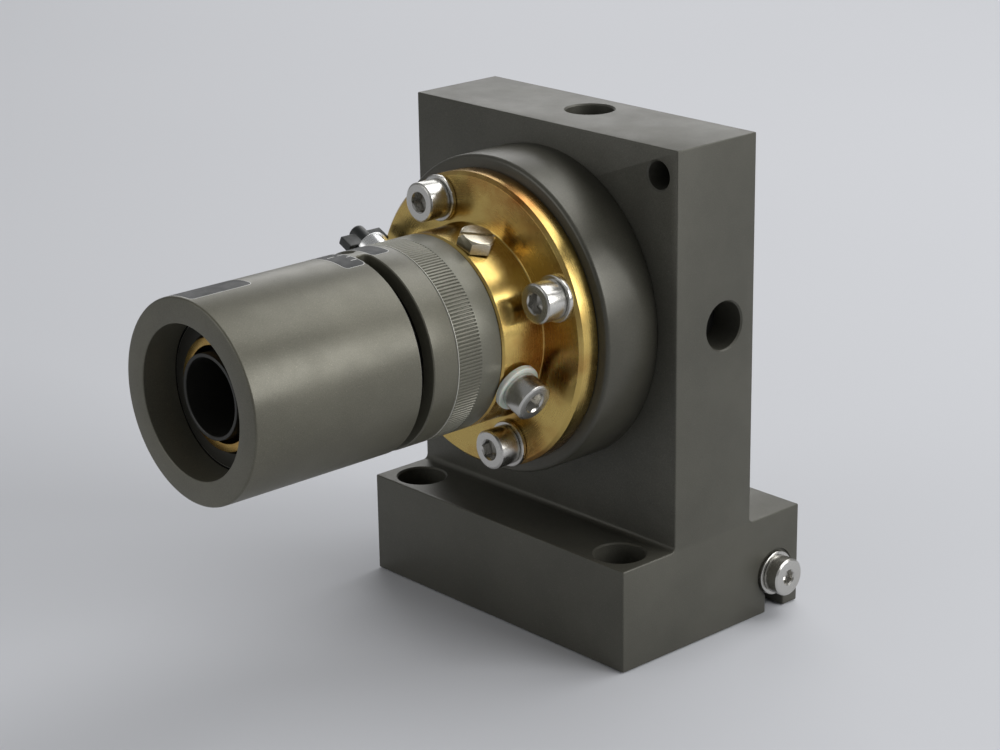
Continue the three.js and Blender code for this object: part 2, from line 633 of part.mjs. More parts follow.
const retainerLength = 3;
const lensShoulder = LENS_CELL_FRONT + 3;
part('lens_cell', turned([
  [LENS_SEAT_RADIUS, LENS_CELL_FRONT], [ADAPTER_BORE - GAP, LENS_CELL_FRONT],
  [ADAPTER_BORE - GAP, LENS_CELL_REAR], [LENS_BORE, LENS_CELL_REAR],
  [LENS_BORE, lensShoulder], [LENS_SEAT_RADIUS, lensShoulder],
], AROUND_INNER), ANODISED_INNER);

// Round lens with a flat seating land at each face's rim; a sag is how far that face bulges at the axis.
function lens(radius, front, rear, frontSag, rearSag) {
  const clear = LENS_SEAT_RADIUS - GAP;
  const rise = (sag, share) => sag * (1 - share * share);
  const shares = [0, 0.4, 0.75, 1];
  const frontFace = shares.map((share) => [clear * share, front - rise(frontSag, share)]);
  const rearFace = shares.map((share) => [clear * share, rear + rise(rearSag, share)]).reverse();
  return turned([...frontFace, [radius, front], [radius, rear], ...rearFace], AROUND_INNER);
}
const frontLensEdge = 4;
const spacerLength = 3;
const rearLensEdge = 2.5;
const springHeight = 1.2;
const frontLensStart = lensShoulder + SEAT;
const spacerStart = frontLensStart + frontLensEdge + SEAT;
const rearLensStart = spacerStart + spacerLength + SEAT;
const springStart = rearLensStart + rearLensEdge + 0.4;
const retainerStart = springStart + springHeight + 0.4;
part('front_lens', lens(LENS_RADIUS, frontLensStart, frontLensStart + frontLensEdge, -1.2, 2.2), GLASS);
const spacer = tube(LENS_RADIUS, LENS_SEAT_RADIUS, spacerStart, spacerStart + spacerLength, AROUND_INNER);
part('lens_spacer', spacer, ANODISED_INNER);
part('rear_lens', lens(LENS_RADIUS, rearLensStart, rearLensStart + rearLensEdge, 0.4, 1), GLASS);

function waveSpring() {
  const waves = 3;
  const steps = 36;
  const thickness = 0.3;
  const [inner, outer] = [LENS_SEAT_RADIUS + 0.3, LENS_RADIUS - 0.2];
  const rings = Array.from({ length: steps }, (_, i) => {
    const degrees = (360 * i) / steps;
    const y = springStart + ((springHeight - thickness) * (1 + Math.cos(waves * radians(degrees)))) / 2;
    return [polar(inner, degrees, y), polar(outer, degrees, y),
      polar(outer, degrees, y + thickness), polar(inner, degrees, y + thickness)];
  });
  return loft(rings, true);
}
part('preload_spring', waveSpring(), STEEL);

// Threaded ring with a spanner slot across its rear face.
function slottedRing(outer, inner, front, length) {
  const rear = front + length;
  const notches = box([-outer - 1, outer + 1], [rear - 1, rear + 1], [-1, 1]);
  return cut(tube(outer, inner, front, rear, AROUND_INNER), notches);
}
const retainer = slottedRing(LENS_BORE - GAP, LENS_SEAT_RADIUS, retainerStart, retainerLength);
part('lens_retainer', retainer, ANODISED_INNER);

// ---------------------------------------------------------------- exit window

const windowSeal = 1;
const windowRingLength = 1.6;
const windowStart = WINDOW_FRONT + windowSeal;
const windowRear = windowStart + WINDOW_THICKNESS;
part('window_seal', new THREE.TorusGeometry(WINDOW_BORE - 1.2, windowSeal * 0.45, 6, 32)
  .rotateX(Math.PI / 2).translate(0, WINDOW_FRONT + windowSeal * 0.45, 0), RUBBER);
part('exit_window', disc(WINDOW_BORE - GAP, windowStart, windowRear, AROUND_INNER), GLASS);
const windowRing = slottedRing(WINDOW_BORE - GAP, SHOULDER_BORE, windowRear + SEAT, windowRingLength);
part('window_ring', windowRing, ANODISED_INNER);

// ---------------------------------------------------------------- keyway clamp screw

const clampSeat = BLOCK_WIDTH / 2 - SPOTFACE_DEPTH + SEAT;
const clampWasher = part('clamp_washer', plainWasher(), STEEL, collimator);
clampWasher.position.set(clampSeat, KEYWAY_Y, CLAMP_SCREW_Z);
const clampScrew = part('clamp_screw', socketScrew(M5_LOW, 12), STEEL, collimator);
clampScrew.position.set(clampSeat + M5.washerHeight + SEAT, KEYWAY_Y, CLAMP_SCREW_Z);
for (const piece of [clampWasher, clampScrew]) piece.rotation.y = Math.PI / 2;

export default collimator;
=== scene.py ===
"""Looks of the laser collimator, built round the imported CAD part.

Turned pieces are modelled about their own Z axis, which then points along the optical axis towards
the barrel's mouth. Screws are modelled about their own Z axis too, with the head's top facing +Z.
Lengths inside the modelling helpers are in metres; mm turns millimetres into metres.
"""

import math

import bmesh
import bpy
from mathutils import Matrix, Vector


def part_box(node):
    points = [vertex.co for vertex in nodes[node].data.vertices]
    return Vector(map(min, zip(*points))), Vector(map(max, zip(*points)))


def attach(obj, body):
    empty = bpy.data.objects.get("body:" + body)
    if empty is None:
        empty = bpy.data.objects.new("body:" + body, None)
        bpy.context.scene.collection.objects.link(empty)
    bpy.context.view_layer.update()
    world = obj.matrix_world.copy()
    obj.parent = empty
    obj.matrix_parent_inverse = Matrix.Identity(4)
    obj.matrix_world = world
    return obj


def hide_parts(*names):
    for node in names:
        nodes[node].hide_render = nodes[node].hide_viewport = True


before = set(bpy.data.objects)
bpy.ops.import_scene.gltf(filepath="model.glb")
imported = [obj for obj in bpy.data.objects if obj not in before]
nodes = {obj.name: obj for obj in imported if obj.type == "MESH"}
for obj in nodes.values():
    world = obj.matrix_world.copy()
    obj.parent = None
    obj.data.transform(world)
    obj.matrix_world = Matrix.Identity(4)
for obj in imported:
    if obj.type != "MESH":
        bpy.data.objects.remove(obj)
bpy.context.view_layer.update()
mm = 0.001
SEAT = 0.1 * mm               # gap between clamped faces
GAP = 0.3 * mm                # running clearance

# ------------------------------------------------------------------ where things are


def middle(node):
    """Mean of a node's vertices, which lies on the axis of a turned piece."""
    points = [v.co for v in nodes[node].data.vertices]
    return sum(points, Vector()) / len(points)


def reach(node, axis, origin):
    """How far a node extends along an axis from a point, as (least, most)."""
    along = [(v.co - origin).dot(axis) for v in nodes[node].data.vertices]
    return min(along), max(along)


def turned_span(node):
    """(front, rear, outside radius) of a node turned about the optical axis; front and rear are
    distances towards the barrel's mouth from the row frame's origin plane."""
    low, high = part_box(node)
    return -low.y, -high.y, (high.x - low.x) / 2


barrel_low, barrel_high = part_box("front_barrel")
AXIS_HEIGHT = (barrel_low.z + barrel_high.z) / 2
AXIS_POINT = Vector((0, 0, AXIS_HEIGHT))

# ------------------------------------------------------------------ mesh helpers


def mesh_object(name, mesh):
    obj = bpy.data.objects.new(name, mesh)
    bpy.context.scene.collection.objects.link(obj)
    return obj


def from_faces(name, points, faces):
    mesh = bpy.data.meshes.new(name)
    mesh.from_pydata([tuple(p) for p in points], [], faces)
    mesh.validate()
    return mesh_object(name, mesh)


def outward(obj):
    build = bmesh.new()
    build.from_mesh(obj.data)
    bmesh.ops.remove_doubles(build, verts=build.verts, dist=1e-7)
    bmesh.ops.recalc_face_normals(build, faces=build.faces)
    build.to_mesh(obj.data)
    build.free()
    return obj


def smooth(obj, degrees=32):
    obj.data.shade_smooth()
    obj.data.set_sharp_from_angle(angle=math.radians(degrees))
    return obj


FILLET_STEPS = 4


def filleted(profile):
    """Rounds the corners of a closed (radius, z) outline; a corner is (radius, z) or (radius, z, fillet)."""
    done = []
    count = len(profile)
    for i, corner in enumerate(profile):
        here = Vector(corner[:2])
        size = corner[2] if len(corner) > 2 else 0
        before = Vector(profile[i - 1][:2]) - here
        after = Vector(profile[(i + 1) % count][:2]) - here
        if size == 0 or before.length == 0 or after.length == 0:
            done.append(here)
            continue
        opening = before.angle(after)
        setback = min(size / math.tan(opening / 2), before.length * 0.49, after.length * 0.49)
        radius = setback * math.tan(opening / 2)
        bisector = (before.normalized() + after.normalized()).normalized()
        centre = here + bisector * (radius / math.sin(opening / 2))
        start = here + before.normalized() * setback - centre
        sweep = start.angle_signed(here + after.normalized() * setback - centre)
        for k in range(FILLET_STEPS + 1):
            turn = -sweep * k / FILLET_STEPS
            cosine, sine = math.cos(turn), math.sin(turn)
            turned = Vector((start.x * cosine - start.y * sine, start.x * sine + start.y * cosine))
            done.append(centre + turned)
    return done


def lathe(name, profile, around=192):
    """Solid of revolution about Z of a closed (radius, z[, fillet]) outline."""
    outline = filleted(profile)
    points, faces = [], []
    for i in range(around):
        turn = 2 * math.pi * i / around
        cosine, sine = math.cos(turn), math.sin(turn)
        points += [(max(r, 0) * cosine, max(r, 0) * sine, z) for r, z in outline]
    size = len(outline)
    for i in range(around):
        here, there = i * size, ((i + 1) % around) * size
        for k in range(size):
            following = (k + 1) % size
            if outline[k].x <= 0 and outline[following].x <= 0:
                continue
            faces.append((here + k, there + k, there + following, here + following))
    return smooth(outward(from_faces(name, points, faces)))


def prism(name, outline, low, high):
    """Straight prism along Z of an (x, y) outline."""
    count = len(outline)
    points = [(x, y, low) for x, y in outline] + [(x, y, high) for x, y in outline]
    faces = [tuple(reversed(range(count))), tuple(range(count, 2 * count))]
    faces += [(i, (i + 1) % count, count + (i + 1) % count, count + i) for i in range(count)]
    return outward(from_faces(name, points, faces))


def circle(radius, around=96):
    turns = [2 * math.pi * i / around for i in range(around)]
    return [(radius * math.cos(turn), radius * math.sin(turn)) for turn in turns]


def rectangle(half_length, half_width):
    return [(-half_length, -half_width), (half_length, -half_width), (half_length, half_width),
            (-half_length, half_width)]


def hexagon(across_flats):
    return circle(across_flats / math.sqrt(3), 6)


def bar(name, radius, low, high):
    return prism(name, circle(radius), low, high)


def applied(obj):
    """Replaces a piece's mesh with its evaluated one, modifiers included."""
    graph = bpy.context.evaluated_depsgraph_get()
    mesh = bpy.data.meshes.new_from_object(obj.evaluated_get(graph))
    obj.modifiers.clear()
    obj.data = mesh
    return obj


def boolean(obj, tool, operation):
    step = obj.modifiers.new(operation.lower(), "BOOLEAN")
    step.operation = operation
    step.solver = "EXACT"
    step.object = tool
    applied(obj)
    bpy.data.objects.remove(tool)
    return obj


def cut(obj, *tools):
    for tool in tools:
        boolean(obj, tool, "DIFFERENCE")
    return obj


def bevelled(obj, width, segments=3, degrees=40):
    step = obj.modifiers.new("bevel", "BEVEL")
    step.width = width
    step.segments = segments
    step.limit_method = "ANGLE"
    step.angle_limit = math.radians(degrees)
    step.miter_outer = "MITER_ARC"
    step.harden_normals = False
    applied(obj)
    return smooth(obj)


def point_along(obj, origin, axis, spin=0.0, reference=Vector((0, 1, 0))):
    """Places a piece so that its Z axis points along axis and its X axis along reference, then turns it
    by spin about its Z axis. The reference is square to the axis."""
    up = axis.normalized()
    turn = Matrix((reference, up.cross(reference), up)).transposed().to_4x4()
    obj.matrix_world = Matrix.Translation(origin) @ turn @ Matrix.Rotation(spin, 4, "Z")
    return obj


def on_optical_axis(obj):
    obj.matrix_world = Matrix.Translation(AXIS_POINT) @ Matrix.Rotation(math.radians(90), 4, "X")
    return obj


# ------------------------------------------------------------------ materials


class Shader:
    """A node material under construction, with a Principled shader and its own object coordinates."""

    def __init__(self, name, **values):
        self.material = bpy.data.materials.new(name)
        self.material.use_nodes = True
        self.tree = self.material.node_tree
        self.shader = self.tree.nodes["Principled BSDF"]
        for socket, value in values.items():
            self.shader.inputs[socket.replace("_", " ")].default_value = value
        self.place = self.tree.nodes.new("ShaderNodeTexCoord").outputs["Object"]
        self.normal = None

    def node(self, kind, **settings):
        made = self.tree.nodes.new(kind)
        for key, value in settings.items():
            setattr(made, key, value)
        return made

    def link(self, source, target):
        self.tree.links.new(source, target)

    def noise(self, scale, detail=3.0, roughness=0.5, place=None):
        made = self.node("ShaderNodeTexNoise")
        self.link(place or self.place, made.inputs["Vector"])
        made.inputs["Scale"].default_value = scale
        made.inputs["Detail"].default_value = detail
        made.inputs["Roughness"].default_value = roughness
        return made.outputs["Fac"]

    def remap(self, value, low, high, to_low, to_high):
        made = self.node("ShaderNodeMapRange")
        self.link(value, made.inputs["Value"])
        for socket, number in zip(("From Min", "From Max", "To Min", "To Max"), (low, high, to_low, to_high)):
            made.inputs[socket].default_value = number
        return made.outputs["Result"]

    def math(self, operation, a, b=None):
        made = self.node("ShaderNodeMath", operation=operation)
        for socket, value in zip(made.inputs, (a, b)):
            if isinstance(value, (int, float)):
                socket.default_value = value
            elif value is not None:
                self.link(value, socket)
        return made.outputs[0]

    def mix(self, factor, first, second):
        made = self.node("ShaderNodeMix", data_type="RGBA")
        self.link(factor, made.inputs[0])
        for socket, value in zip((made.inputs[6], made.inputs[7]), (first, second)):
            if isinstance(value, tuple):
                socket.default_value = (*value, 1)
            else:
                self.link(value, socket)
        return made.outputs[2]

    def bump(self, height, depth, strength=1.0):
        """Adds relief; depth is the height in metres of a full step of the height value."""
        made = self.node("ShaderNodeBump")
        made.inputs["Strength"].default_value = strength
        made.inputs["Distance"].default_value = depth
        self.link(height, made.inputs["Height"])
        if self.normal:
            self.link(self.normal, made.inputs["Normal"])
        self.normal = made.outputs["Normal"]
        self.link(self.normal, self.shader.inputs["Normal"])

    def axes(self):
        split = self.node("ShaderNodeSeparateXYZ")
        self.link(self.place, split.inputs[0])
        return split.outputs

    def radius(self):
        """Distance from the piece's own Z axis."""
        x, y, _ = self.axes()
        return self.math("SQRT", self.math("ADD", self.math("MULTIPLY", x, x), self.math("MULTIPLY", y, y)))

    def turning(self, pitch):
        """Coordinates that vary only along a turned surface's outline, so that noise reads as lathe marks."""
        join = self.node("ShaderNodeCombineXYZ")
        self.link(self.math("DIVIDE", self.radius(), pitch), join.inputs[0])
        self.link(self.math("DIVIDE", self.axes()[2], pitch), join.inputs[1])
        return join.outputs[0]


# Bare-metal colours for edges and rims: partly worn-through coating, partly a painted highlight for the light
# lines these edges catch.
BARE_EDGE_AND_HIGHLIGHT = (0.50, 0.49, 0.44)
BARE_RIM_AND_HIGHLIGHT = (0.42, 0.41, 0.37)
EDGE_BLEND = 0.015 * mm
RIM_BLEND = 0.06 * mm


def anodised(name, dark, light, roughness, grain=1.0, turned=0.0, bare_and_highlit_from=None, worn_and_highlit=(), outside=None):
    """Hard-anodised aluminium: fine etched grain, tiny bright specks and faint handling marks. On a turned
    piece a lighter bare-metal colour can be laid outside a radius and along listed edges. It stands for
    worn-through coating and also paints the light line that such a rim or edge catches, so it is partly a
    painted highlight.
    The list of edges gives their (low, high) stations, which are painted only below the outside radius."""
    s = Shader(name, Metallic=0.35, Specular_IOR_Level=0.5)
    cloud = s.noise(45, 4, 0.6)
    fine = s.noise(5200, 2, 0.6)
    tone = s.math("ADD", s.math("MULTIPLY", cloud, 0.45), s.math("MULTIPLY", fine, 0.55))
    base = s.mix(s.remap(tone, 0.36, 0.64, 0, 1), dark, light)
    speck = s.remap(s.noise(4200, 1, 0.4), 0.66, 0.76, 0, 1)
    bright = tuple(min(1, c * 1.9) for c in light)
    base = s.mix(s.math("MULTIPLY", speck, 0.3), base, bright)
    # Painted highlight: the bare-metal colour outside a radius and along the listed edges also stands in for
    # the light lines they catch.
    if bare_and_highlit_from:
        base = s.mix(s.remap(s.radius(), bare_and_highlit_from, bare_and_highlit_from + RIM_BLEND, 0, 1), base, BARE_RIM_AND_HIGHLIGHT)
    for low, high in worn_and_highlit:
        station = s.axes()[2]
        inside = s.math("MULTIPLY", s.remap(station, low, low + EDGE_BLEND, 0, 1),
                        s.remap(station, high - EDGE_BLEND, high, 1, 0))
        below = s.remap(s.radius(), outside - 3 * EDGE_BLEND, outside - EDGE_BLEND, 1, 0)
        base = s.mix(s.math("MULTIPLY", inside, below), base, BARE_EDGE_AND_HIGHLIGHT)
    s.link(base, s.shader.inputs["Base Color"])
    rub = s.noise(95, 5, 0.65)
    s.link(s.remap(rub, 0.3, 0.7, roughness - 0.05, roughness + 0.06), s.shader.inputs["Roughness"])
    s.bump(fine, 0.000012 * grain, 0.6)
    s.bump(s.noise(1500, 3, 0.6), 0.00002 * grain, 0.4)
    if turned:
        s.bump(s.noise(1.0, 2, 0.5, s.turning(0.00011)), 0.000004, turned)
    return s.material


def polished_metal(name, tint, shade, roughness, pitch, marks, stain):
    """Turned and polished metal with lathe marks, soft smears and some tarnish; stain is how far the
    tarnished patches go from tint to shade."""
    s = Shader(name, Metallic=1.0)
    smear = s.noise(110, 5, 0.6)
    tarnish = s.noise(38, 5, 0.6)
    s.link(s.mix(s.remap(tarnish, 0.42, 0.68, 0, stain), tint, shade), s.shader.inputs["Base Color"])
    lines = s.noise(1.0, 3, 0.6, s.turning(pitch))
    rough = s.math("ADD", s.remap(smear, 0.35, 0.7, roughness - 0.04, roughness + 0.07),
                   s.remap(lines, 0.3, 0.7, -0.02, 0.04))
    s.link(rough, s.shader.inputs["Roughness"])
    s.bump(lines, 0.0000022, marks)
    s.bump(s.noise(700, 3, 0.5), 0.000003, 0.25)
    return s.material


def moulded(name, dark, light, roughness, grain=0.5, **values):
    s = Shader(name, **values)
    tone = s.noise(240, 4, 0.6)
    s.link(s.mix(s.remap(tone, 0.35, 0.65, 0, 1), dark, light), s.shader.inputs["Base Color"])
    rough = s.remap(s.noise(400, 4, 0.6), 0.3, 0.7, roughness - 0.06, roughness + 0.08)
    s.link(rough, s.shader.inputs["Roughness"])
    s.bump(s.noise(2600, 3, 0.6), 0.00002, grain)
    return s.material


BLOCK = anodised("block_anodise", (0.060, 0.058, 0.046), (0.094, 0.091, 0.073), 0.46)
ADAPTER = anodised("adapter_anodise", (0.054, 0.052, 0.040), (0.084, 0.080, 0.062), 0.36, 0.5, turned=0.5)
barrel_front, barrel_rear, barrel_radius = turned_span("front_barrel")
ring_front, ring_rear, ring_radius = turned_span("focus_ring")
SLOT_WIDTH = 3.1 * mm
SLOT_REAR = 61.4 * mm
SLOT_CHAMFER = 0.22 * mm
slot_front = SLOT_REAR + SLOT_WIDTH
# The barrel's slot chamfer and the focus ring's front edge carry a bare-metal colour that also paints their
# edge highlight.
BARREL = anodised("barrel_anodise", (0.088, 0.084, 0.063), (0.132, 0.126, 0.095), 0.37, 0.9,
                  outside=barrel_radius,
                  worn_and_highlit=[(slot_front + 0.02 * mm, slot_front + SLOT_CHAMFER + 0.05 * mm)])
RING = anodised("ring_anodise", (0.110, 0.107, 0.083), (0.155, 0.151, 0.118), 0.38, 0.5,
                outside=ring_radius + mm, worn_and_highlit=[(ring_front - 0.16 * mm, ring_front + 0.1 * mm)])
INNER = anodised("inner_black", (0.006, 0.006, 0.0055), (0.013, 0.013, 0.012), 0.45, 0.5, turned=0.6)
# The guide ring's outer rim carries a bare-metal colour that also paints its bright rim line, a painted
# highlight.
MOUTH = anodised("mouth_black", (0.030, 0.029, 0.024), (0.052, 0.050, 0.042), 0.36, 0.5, turned=0.8,
                 bare_and_highlit_from=turned_span("front_guide_ring")[2] - 0.22 * mm)
SLEEVE = anodised("sleeve_black", (0.016, 0.016, 0.014), (0.030, 0.029, 0.025), 0.34, 0.5, turned=0.8)
BRASS = polished_metal("polished_brass", (0.58, 0.42, 0.135), (0.27, 0.075, 0.011), 0.24, 0.00012, 0.6, 1.0)
STEEL = polished_metal("steel", (0.56, 0.55, 0.52), (0.40, 0.38, 0.35), 0.24, 0.00008, 0.5, 0.35)
NICKEL = polished_metal("nickel_screw", (0.60, 0.55, 0.44), (0.45, 0.40, 0.30), 0.20, 0.0001, 0.3, 0.4)
ALUMINIUM = polished_metal("bright_aluminium", (0.82, 0.82, 0.81), (0.66, 0.66, 0.65), 0.26, 0.0001,
                           0.6, 0.3)
KNOB = moulded("black_plastic", (0.012, 0.014, 0.013), (0.022, 0.025, 0.023), 0.38)
NYLON = moulded("white_plastic", (0.56, 0.60, 0.53), (0.68, 0.71, 0.64), 0.38, 0.2,
                Subsurface_Weight=0.4, Subsurface_Scale=0.001)
RUBBER = moulded("seal_rubber", (0.008, 0.008, 0.008), (0.016, 0.016, 0.016), 0.6)
FIELD = moulded("index_field", (0.026, 0.027, 0.028), (0.040, 0.041, 0.042), 0.52, 0.2,
                Specular_IOR_Level=0.25)
MARKING = moulded("index_marking", (0.56, 0.56, 0.54), (0.66, 0.66, 0.63), 0.5, 0.2)


def lens_glass():
    s = Shader("lens_glass", Transmission_Weight=1.0, IOR=1.5)
    tint = s.mix(s.noise(60, 2), (0.86, 0.93, 0.97), (0.92, 0.96, 0.98))
    s.link(tint, s.shader.inputs["Base Color"])
    s.link(s.remap(s.noise(120, 4), 0.3, 0.7, 0.01, 0.04), s.shader.inputs["Roughness"])
    s.shader.inputs["Coat Weight"].default_value = 0.4
    s.shader.inputs["Coat Tint"].default_value = (0.78, 0.86, 1.0, 1)
    return s.material


GLASS = lens_glass()


def finish_piece(obj, material, slot, body, *replaced):
    """Gives a piece its material and body, and names the CAD nodes that it replaces, which it hides. The slot
    argument is not used; a printed mark passes None for it."""
    obj.data.materials.clear()
    obj.data.materials.append(material)
    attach(obj, body)
    if replaced:
        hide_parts(*replaced)


# ------------------------------------------------------------------ mounting block

block_low, block_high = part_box("mount_block")
adapter_front, adapter_rear, adapter_radius = turned_span("bore_adapter")
PLATE_THICKNESS = 23.5 * mm
PLATE_FRONT = -12 * mm
BASE_HEIGHT = 23 * mm
SPIGOT_RADIUS = 25 * mm
KEYWAY_WIDTH = 5.8 * mm
KEYWAY_DEPTH = 4.8 * mm
LEDGE_HOLE = Vector((32 * mm, -20.5 * mm, 0))
CORNER_HOLE = Vector((34.5 * mm, PLATE_FRONT, 104 * mm))
CORNER_HOLE_RADIUS, CORNER_HOLE_DEPTH = 3 * mm, 12 * mm
SET_HOLE_RADIUS = 5.25 * mm
SPOTFACE_RADIUS, SPOTFACE_DEPTH = 5.5 * mm, 0.5 * mm
CLAMP_HOLE_RADIUS, CLAMP_HOLE_DEPTH = 2.75 * mm, 15 * mm
COUNTERBORE_RADIUS, COUNTERBORE_DEPTH = 5.5 * mm, 6.5 * mm
LEDGE_THROUGH_RADIUS = 3.3 * mm
FOOT_FILLET = 1.2 * mm


def arc(centre, radius, start, end, steps=8):
    turns = [start + (end - start) * k / steps for k in range(steps + 1)]
    return [(centre[0] + radius * math.cos(t), centre[1] + radius * math.sin(t)) for t in turns]


def block_outline():
    """(y, z) outline of the block seen from its right side."""
    key = middle("clamp_washer").y
    plate_rear = PLATE_FRONT + PLATE_THICKNESS
    centre = BASE_HEIGHT + FOOT_FILLET
    foot = arc((PLATE_FRONT - FOOT_FILLET, centre), FOOT_FILLET, 0, -math.pi / 2)
    heel = arc((plate_rear + FOOT_FILLET, centre), FOOT_FILLET, -math.pi / 2, -math.pi)
    return [
        (block_low.y, block_low.z), (key - KEYWAY_WIDTH / 2, block_low.z),
        (key - KEYWAY_WIDTH / 2, KEYWAY_DEPTH), (key + KEYWAY_WIDTH / 2, KEYWAY_DEPTH),
        (key + KEYWAY_WIDTH / 2, block_low.z), (block_high.y, block_low.z), (block_high.y, BASE_HEIGHT),
        *heel, (plate_rear, block_high.z), (PLATE_FRONT, block_high.z), *foot, (block_low.y, BASE_HEIGHT),
    ]


def chamfered_hole(radius, low, high, chamfer=0.35 * mm):
    """Cutter for a hole whose mouth at z = high has a chamfer."""
    overrun = 0.6 * chamfer
    profile = [(0, low), (radius, low), (radius, high - chamfer),
               (radius + chamfer + overrun, high + overrun), (0, high + overrun)]
    return lathe("hole", profile, 96)


def towards(origin, axis):
    return Matrix.Translation(origin) @ axis.to_track_quat("Z", "Y").to_matrix().to_4x4()


def placed_cutter(obj, origin, axis):
    obj.data.transform(towards(Vector(origin), Vector(axis)))
    return obj


def mounting_block():
    build = prism("mount_block_fine", block_outline(), block_low.x, block_high.x)
    # The outline's first axis is the row's Y, its second the row's Z and the prism's length is X.
    build.data.transform(Matrix(((0, 0, 1, 0), (1, 0, 0, 0), (0, 1, 0, 0), (0, 0, 0, 1))))
    outward(build)
    bevelled(build, 0.3 * mm, 3)
    right, top = Vector((1, 0, 0)), Vector((0, 0, 1))
    side_screw = middle("adapter_set_screw_side")
    top_screw = middle("adapter_set_screw_top")
    clamp = middle("clamp_washer")
    clamp_seat = (block_high.x, clamp.y, clamp.z)
    tools = [
        placed_cutter(chamfered_hole(SPIGOT_RADIUS, -1 * mm, PLATE_THICKNESS),
                      (0, PLATE_FRONT, AXIS_HEIGHT), (0, 1, 0)),
        placed_cutter(chamfered_hole(SET_HOLE_RADIUS, 0, block_high.z - AXIS_HEIGHT),
                      (top_screw.x, top_screw.y, AXIS_HEIGHT), top),
        placed_cutter(chamfered_hole(SET_HOLE_RADIUS, 0, block_high.x),
                      (0, side_screw.y, AXIS_HEIGHT), right),
        placed_cutter(chamfered_hole(CORNER_HOLE_RADIUS, -CORNER_HOLE_DEPTH, 0), CORNER_HOLE, (0, -1, 0)),
        placed_cutter(chamfered_hole(SPOTFACE_RADIUS, -SPOTFACE_DEPTH, 0, 0.1 * mm), clamp_seat, right),
        placed_cutter(chamfered_hole(CLAMP_HOLE_RADIUS, -CLAMP_HOLE_DEPTH, 0, 0.01 * mm), clamp_seat, right),
    ]
    for side in (-1, 1):
        seat = (side * LEDGE_HOLE.x, LEDGE_HOLE.y, BASE_HEIGHT)
        counterbore = chamfered_hole(COUNTERBORE_RADIUS, -COUNTERBORE_DEPTH, 0)
        through = chamfered_hole(LEDGE_THROUGH_RADIUS, -BASE_HEIGHT - mm, -6 * mm, 0.1 * mm)
        tools += [placed_cutter(counterbore, seat, top), placed_cutter(through, seat, top)]
    cut(build, *tools)
    return smooth(build, 35)


finish_piece(mounting_block(), BLOCK, "block_anodise", "housing", "mount_block")

# ------------------------------------------------------------------ bore adapter and flange

spigot = SPIGOT_RADIUS - GAP
SHOULDER_BORE = 17 * mm
window_ring_front, window_ring_rear, window_ring_radius = turned_span("window_ring")
window_front, window_rear, window_radius = turned_span("exit_window")
_, cell_rear, cell_radius = turned_span("lens_cell")
plate_line = -PLATE_FRONT + SEAT
window_bore = window_radius + GAP
cell_bore = cell_radius + GAP
shoulder_rear = window_front + 1.3 * mm
shoulder_front = cell_rear - GAP
adapter = lathe("bore_adapter_fine", [
    (cell_bore, adapter_front), (adapter_radius, adapter_front, 0.9 * mm),
    (adapter_radius, plate_line, 0.2 * mm), (spigot, plate_line), (spigot, adapter_rear, 0.5 * mm),
    (window_bore, adapter_rear, 0.2 * mm), (window_bore, shoulder_rear),
    (SHOULDER_BORE, shoulder_rear), (SHOULDER_BORE, shoulder_front), (cell_bore, shoulder_front),
], 256)
finish_piece(on_optical_axis(adapter), ADAPTER, "adapter_anodise", "housing", "bore_adapter")

flange_front_tip, flange_rear, flange_radius = turned_span("brass_flange")
_, washer_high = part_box("flange_washer_1")
FLANGE_FACE = -washer_high.y - SEAT
SOCKET_RADIUS = ring_radius - 3.3 * mm
HUB_RADIUS = ring_radius
HUB_CHAMFER = 0.45 * mm
FLANGE_CHAMFER = 0.75 * mm
THUMB_HOLE_RADIUS = 2.25 * mm
flange_seat = adapter_front + SEAT


def brass_flange():
    build = lathe("brass_flange_fine", [
        (SOCKET_RADIUS, flange_front_tip, 0.15 * mm),
        (HUB_RADIUS - HUB_CHAMFER, flange_front_tip, 0.08 * mm),
        (HUB_RADIUS, flange_front_tip - HUB_CHAMFER, 0.08 * mm), (HUB_RADIUS, FLANGE_FACE, 0.35 * mm),
        (flange_radius - FLANGE_CHAMFER, FLANGE_FACE, 0.1 * mm),
        (flange_radius, FLANGE_FACE - FLANGE_CHAMFER, 0.1 * mm),
        (flange_radius, flange_seat, 0.3 * mm), (cell_radius, flange_seat), (cell_radius, flange_rear),
        (SOCKET_RADIUS, flange_rear),
    ], 256)
    return smooth(build)


flange = brass_flange()


def radial_axis(node):
    """(direction, station) of a radial screw: a unit vector and the point where its axis meets the
    optical axis, both in the row frame."""
    centre = middle(node)
    away = Vector((centre.x, 0, centre.z - AXIS_HEIGHT))
    return away.normalized(), Vector((0, centre.y, AXIS_HEIGHT))


thumb_away, thumb_station = radial_axis("thumb_knob")


def local_direction(away):
    """A row-frame direction across the optical axis, in the turned pieces' own coordinates."""
    return Vector((away.x, away.z, 0))


thumb_hole = bar("hole", THUMB_HOLE_RADIUS, SOCKET_RADIUS - mm, HUB_RADIUS + mm)
thumb_hole.data.transform(towards(Vector((0, 0, -thumb_station.y)), local_direction(thumb_away)))
cut(flange, thumb_hole)
smooth(flange)
finish_piece(on_optical_axis(flange), BRASS, "polished_brass", "housing", "brass_flange")

# ------------------------------------------------------------------ screws and washers


M5_HEAD, M5_SHANK, M5_HEIGHT = 4.25 * mm, 2.45 * mm, 5 * mm
LOW_HEAD_HEIGHT = 3.5 * mm
WASHER_RADIUS, WASHER_BORE, WASHER_HEIGHT = 5 * mm, 2.75 * mm, 1 * mm


